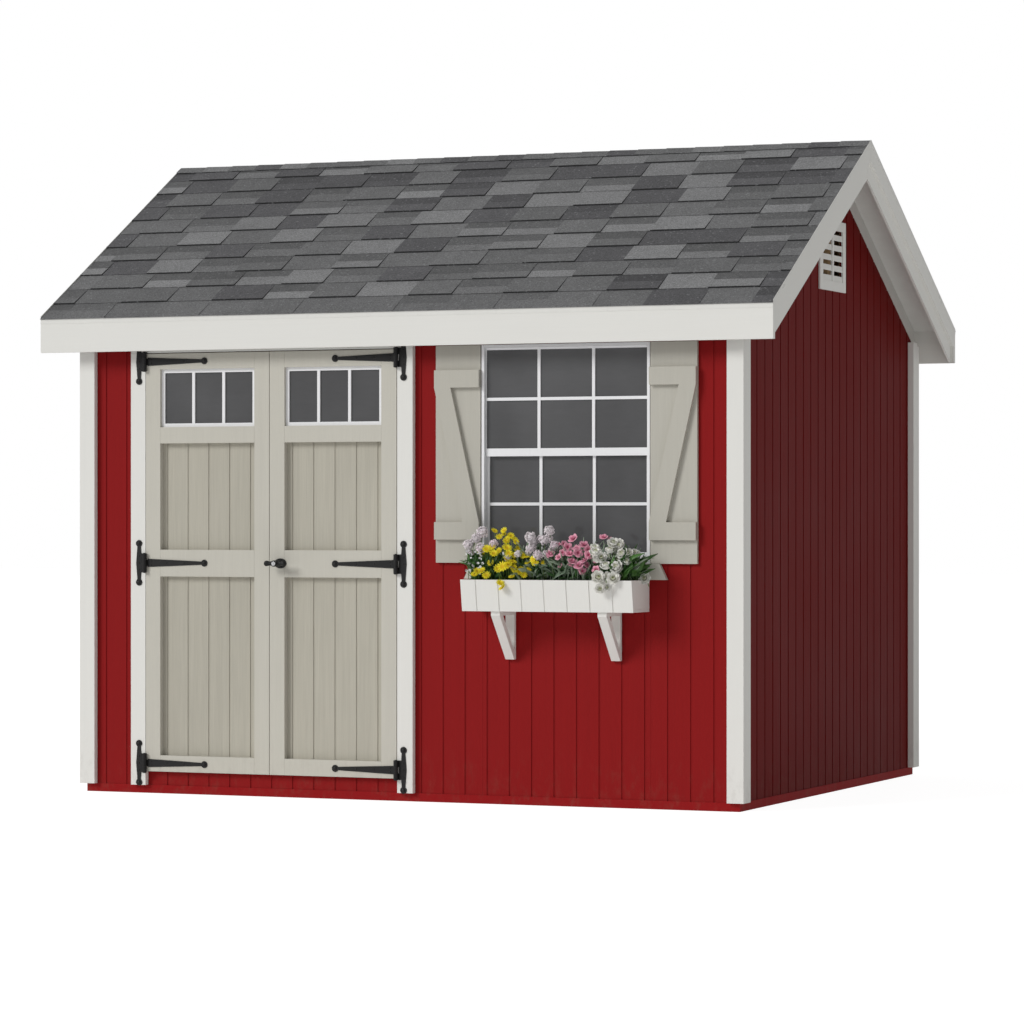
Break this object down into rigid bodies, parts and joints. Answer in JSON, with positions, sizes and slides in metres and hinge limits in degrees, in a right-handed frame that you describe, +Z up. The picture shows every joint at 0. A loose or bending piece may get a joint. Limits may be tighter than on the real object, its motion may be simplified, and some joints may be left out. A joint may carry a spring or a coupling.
{
  "type": "garden shed",
  "caption": "Gable-roofed timber garden shed with outward double doors, a sliding sash window, shutters and a planted flower box.",
  "frame": {"origin": "on the ground at the centre of the footprint between the outer faces of the siding", "axes": "+Z up, +X to the right along the front wall, the doors face -Y"},
  "size_m": [3.4124, 2.754, 2.8731],
  "materials": {
    "framing_timber": "planed spruce",
    "deck_plywood": "plywood",
    "sheathing_board": "strand board",
    "red_siding": "painted satin, fine wood grain",
    "red_skirt": "painted satin",
    "white_trim": "painted satin",
    "white_metal": "satin",
    "greige_paint": "painted satin, wood grain",
    "window_white": "satin",
    "box_white": "painted satin",
    "grey_shingles": "mineral granules",
    "window_glass": "clear, dark inside",
    "black_hardware": "powder coat",
    "zinc_hardware": "zinc plated",
    "chrome_key": "polished",
    "threshold_metal": "mill finish",
    "soil": "loose potting soil",
    "foliage": "leaves and petals"
  },
  "bodies": {
    "shell": {"floor_frame": "framing_timber", "floor_deck": "deck_plywood", "base_skirt": "red_skirt", "threshold": "threshold_metal", "wall_plates": "framing_timber", "wall_studs": "framing_timber", "opening_frames": "framing_timber", "siding_front": "red_siding", "siding_rear": "red_siding", "siding_gables": "red_siding", "corner_boards": "white_trim", "door_casing": "white_trim", "rafters": "framing_timber", "ridge_board": "framing_timber", "collar_ties": "framing_timber", "roof_sheathing": "sheathing_board", "shingles": "grey_shingles", "ridge_caps": "grey_shingles", "drip_edges": "white_metal", "fascia_boards": "white_trim", "rake_boards": "white_trim", "rake_mouldings": "white_trim", "vent_frames": "white_trim", "vent_louvres": "white_trim", "window_frame": "window_white", "upper_sash": "window_white", "upper_panes": "window_glass", "sill_board": "greige_paint", "shutters": "greige_paint", "box_boards": "box_white", "box_brackets": "box_white", "potting_soil": "soil", "plant_greens": "foliage", "plant_daisies": "foliage", "plant_lilacs": "foliage", "plant_pinks": "foliage", "plant_roses": "foliage", "hinge_jamb_leaves": "black_hardware", "hinge_pins": "black_hardware"},
    "left_door": {"left_door_frame": "greige_paint", "left_door_panel": "greige_paint", "left_door_backing": "framing_timber", "left_door_light": "window_white", "left_door_glass": "window_glass", "left_hinge_straps": "black_hardware", "bolt_guides": "zinc_hardware"},
    "right_door": {"right_door_frame": "greige_paint", "right_door_panel": "greige_paint", "right_door_backing": "framing_timber", "right_door_light": "window_white", "right_door_glass": "window_glass", "right_hinge_straps": "black_hardware", "lock_plate": "black_hardware"},
    "handle": {"door_handle": "black_hardware", "latch_cam": "zinc_hardware"},
    "key": {"key_plug": "chrome_key"},
    "lower_bolt": {"lower_bolt": "zinc_hardware"},
    "upper_bolt": {"upper_bolt": "zinc_hardware"},
    "lower_sash": {"lower_sash": "window_white", "lower_panes": "window_glass"}
  },
  "joints": [
    {"name": "left_door_swing", "type": "hinge", "parent": "shell", "child": "left_door", "pos_m": [-1.2215, -1.2573, 1.01], "axis": [0, 0, -1], "range_deg": [0, 165]},
    {"name": "right_door_swing", "type": "hinge", "parent": "shell", "child": "right_door", "pos_m": [-0.0105, -1.2573, 1.01], "axis": [0, 0, 1], "range_deg": [0, 120]},
    {"name": "handle_turn", "type": "hinge", "parent": "right_door", "child": "handle", "pos_m": [-0.562, -1.2573, 1.011], "axis": [0, 1, 0], "range_deg": [0, 90]},
    {"name": "key_turn", "type": "hinge", "parent": "handle", "child": "key", "pos_m": [-0.562, -1.2573, 1.011], "axis": [0, 1, 0], "range_deg": [0, 90]},
    {"name": "lower_bolt_slide", "type": "slide", "parent": "left_door", "child": "lower_bolt", "axis": [0, 0, -1], "range_m": [0, 0.032]},
    {"name": "upper_bolt_slide", "type": "slide", "parent": "left_door", "child": "upper_bolt", "axis": [0, 0, 1], "range_m": [0, 0.032]},
    {"name": "lower_sash_slide", "type": "slide", "parent": "shell", "child": "lower_sash", "axis": [0, 0, 1], "range_m": [0, 0.38]}
  ]
}
